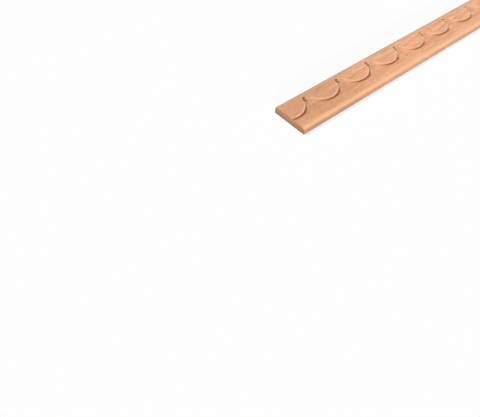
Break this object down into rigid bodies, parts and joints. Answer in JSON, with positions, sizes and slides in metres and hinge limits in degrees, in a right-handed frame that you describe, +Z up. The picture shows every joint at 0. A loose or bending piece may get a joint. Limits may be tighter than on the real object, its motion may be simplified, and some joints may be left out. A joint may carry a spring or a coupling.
{
  "type": "scalloped trim strip",
  "caption": "Beech moulding strip with a scalloped relief: a row of raised half-round lobes over a coved recess, a plain band and a bevelled edge, on a flat back for gluing.",
  "frame": {"origin": "middle of the flat back, half-way along the strip and half-way across it", "axes": "+X along the length, +Y towards the square edge above the lobes, +Z up out of the carved face"},
  "size_m": [1, 0.032, 0.006],
  "materials": {
    "beech": "planed and moulded, unfinished"
  },
  "bodies": {
    "root": {"beech_strip": "beech"}
  },
  "joints": []
}
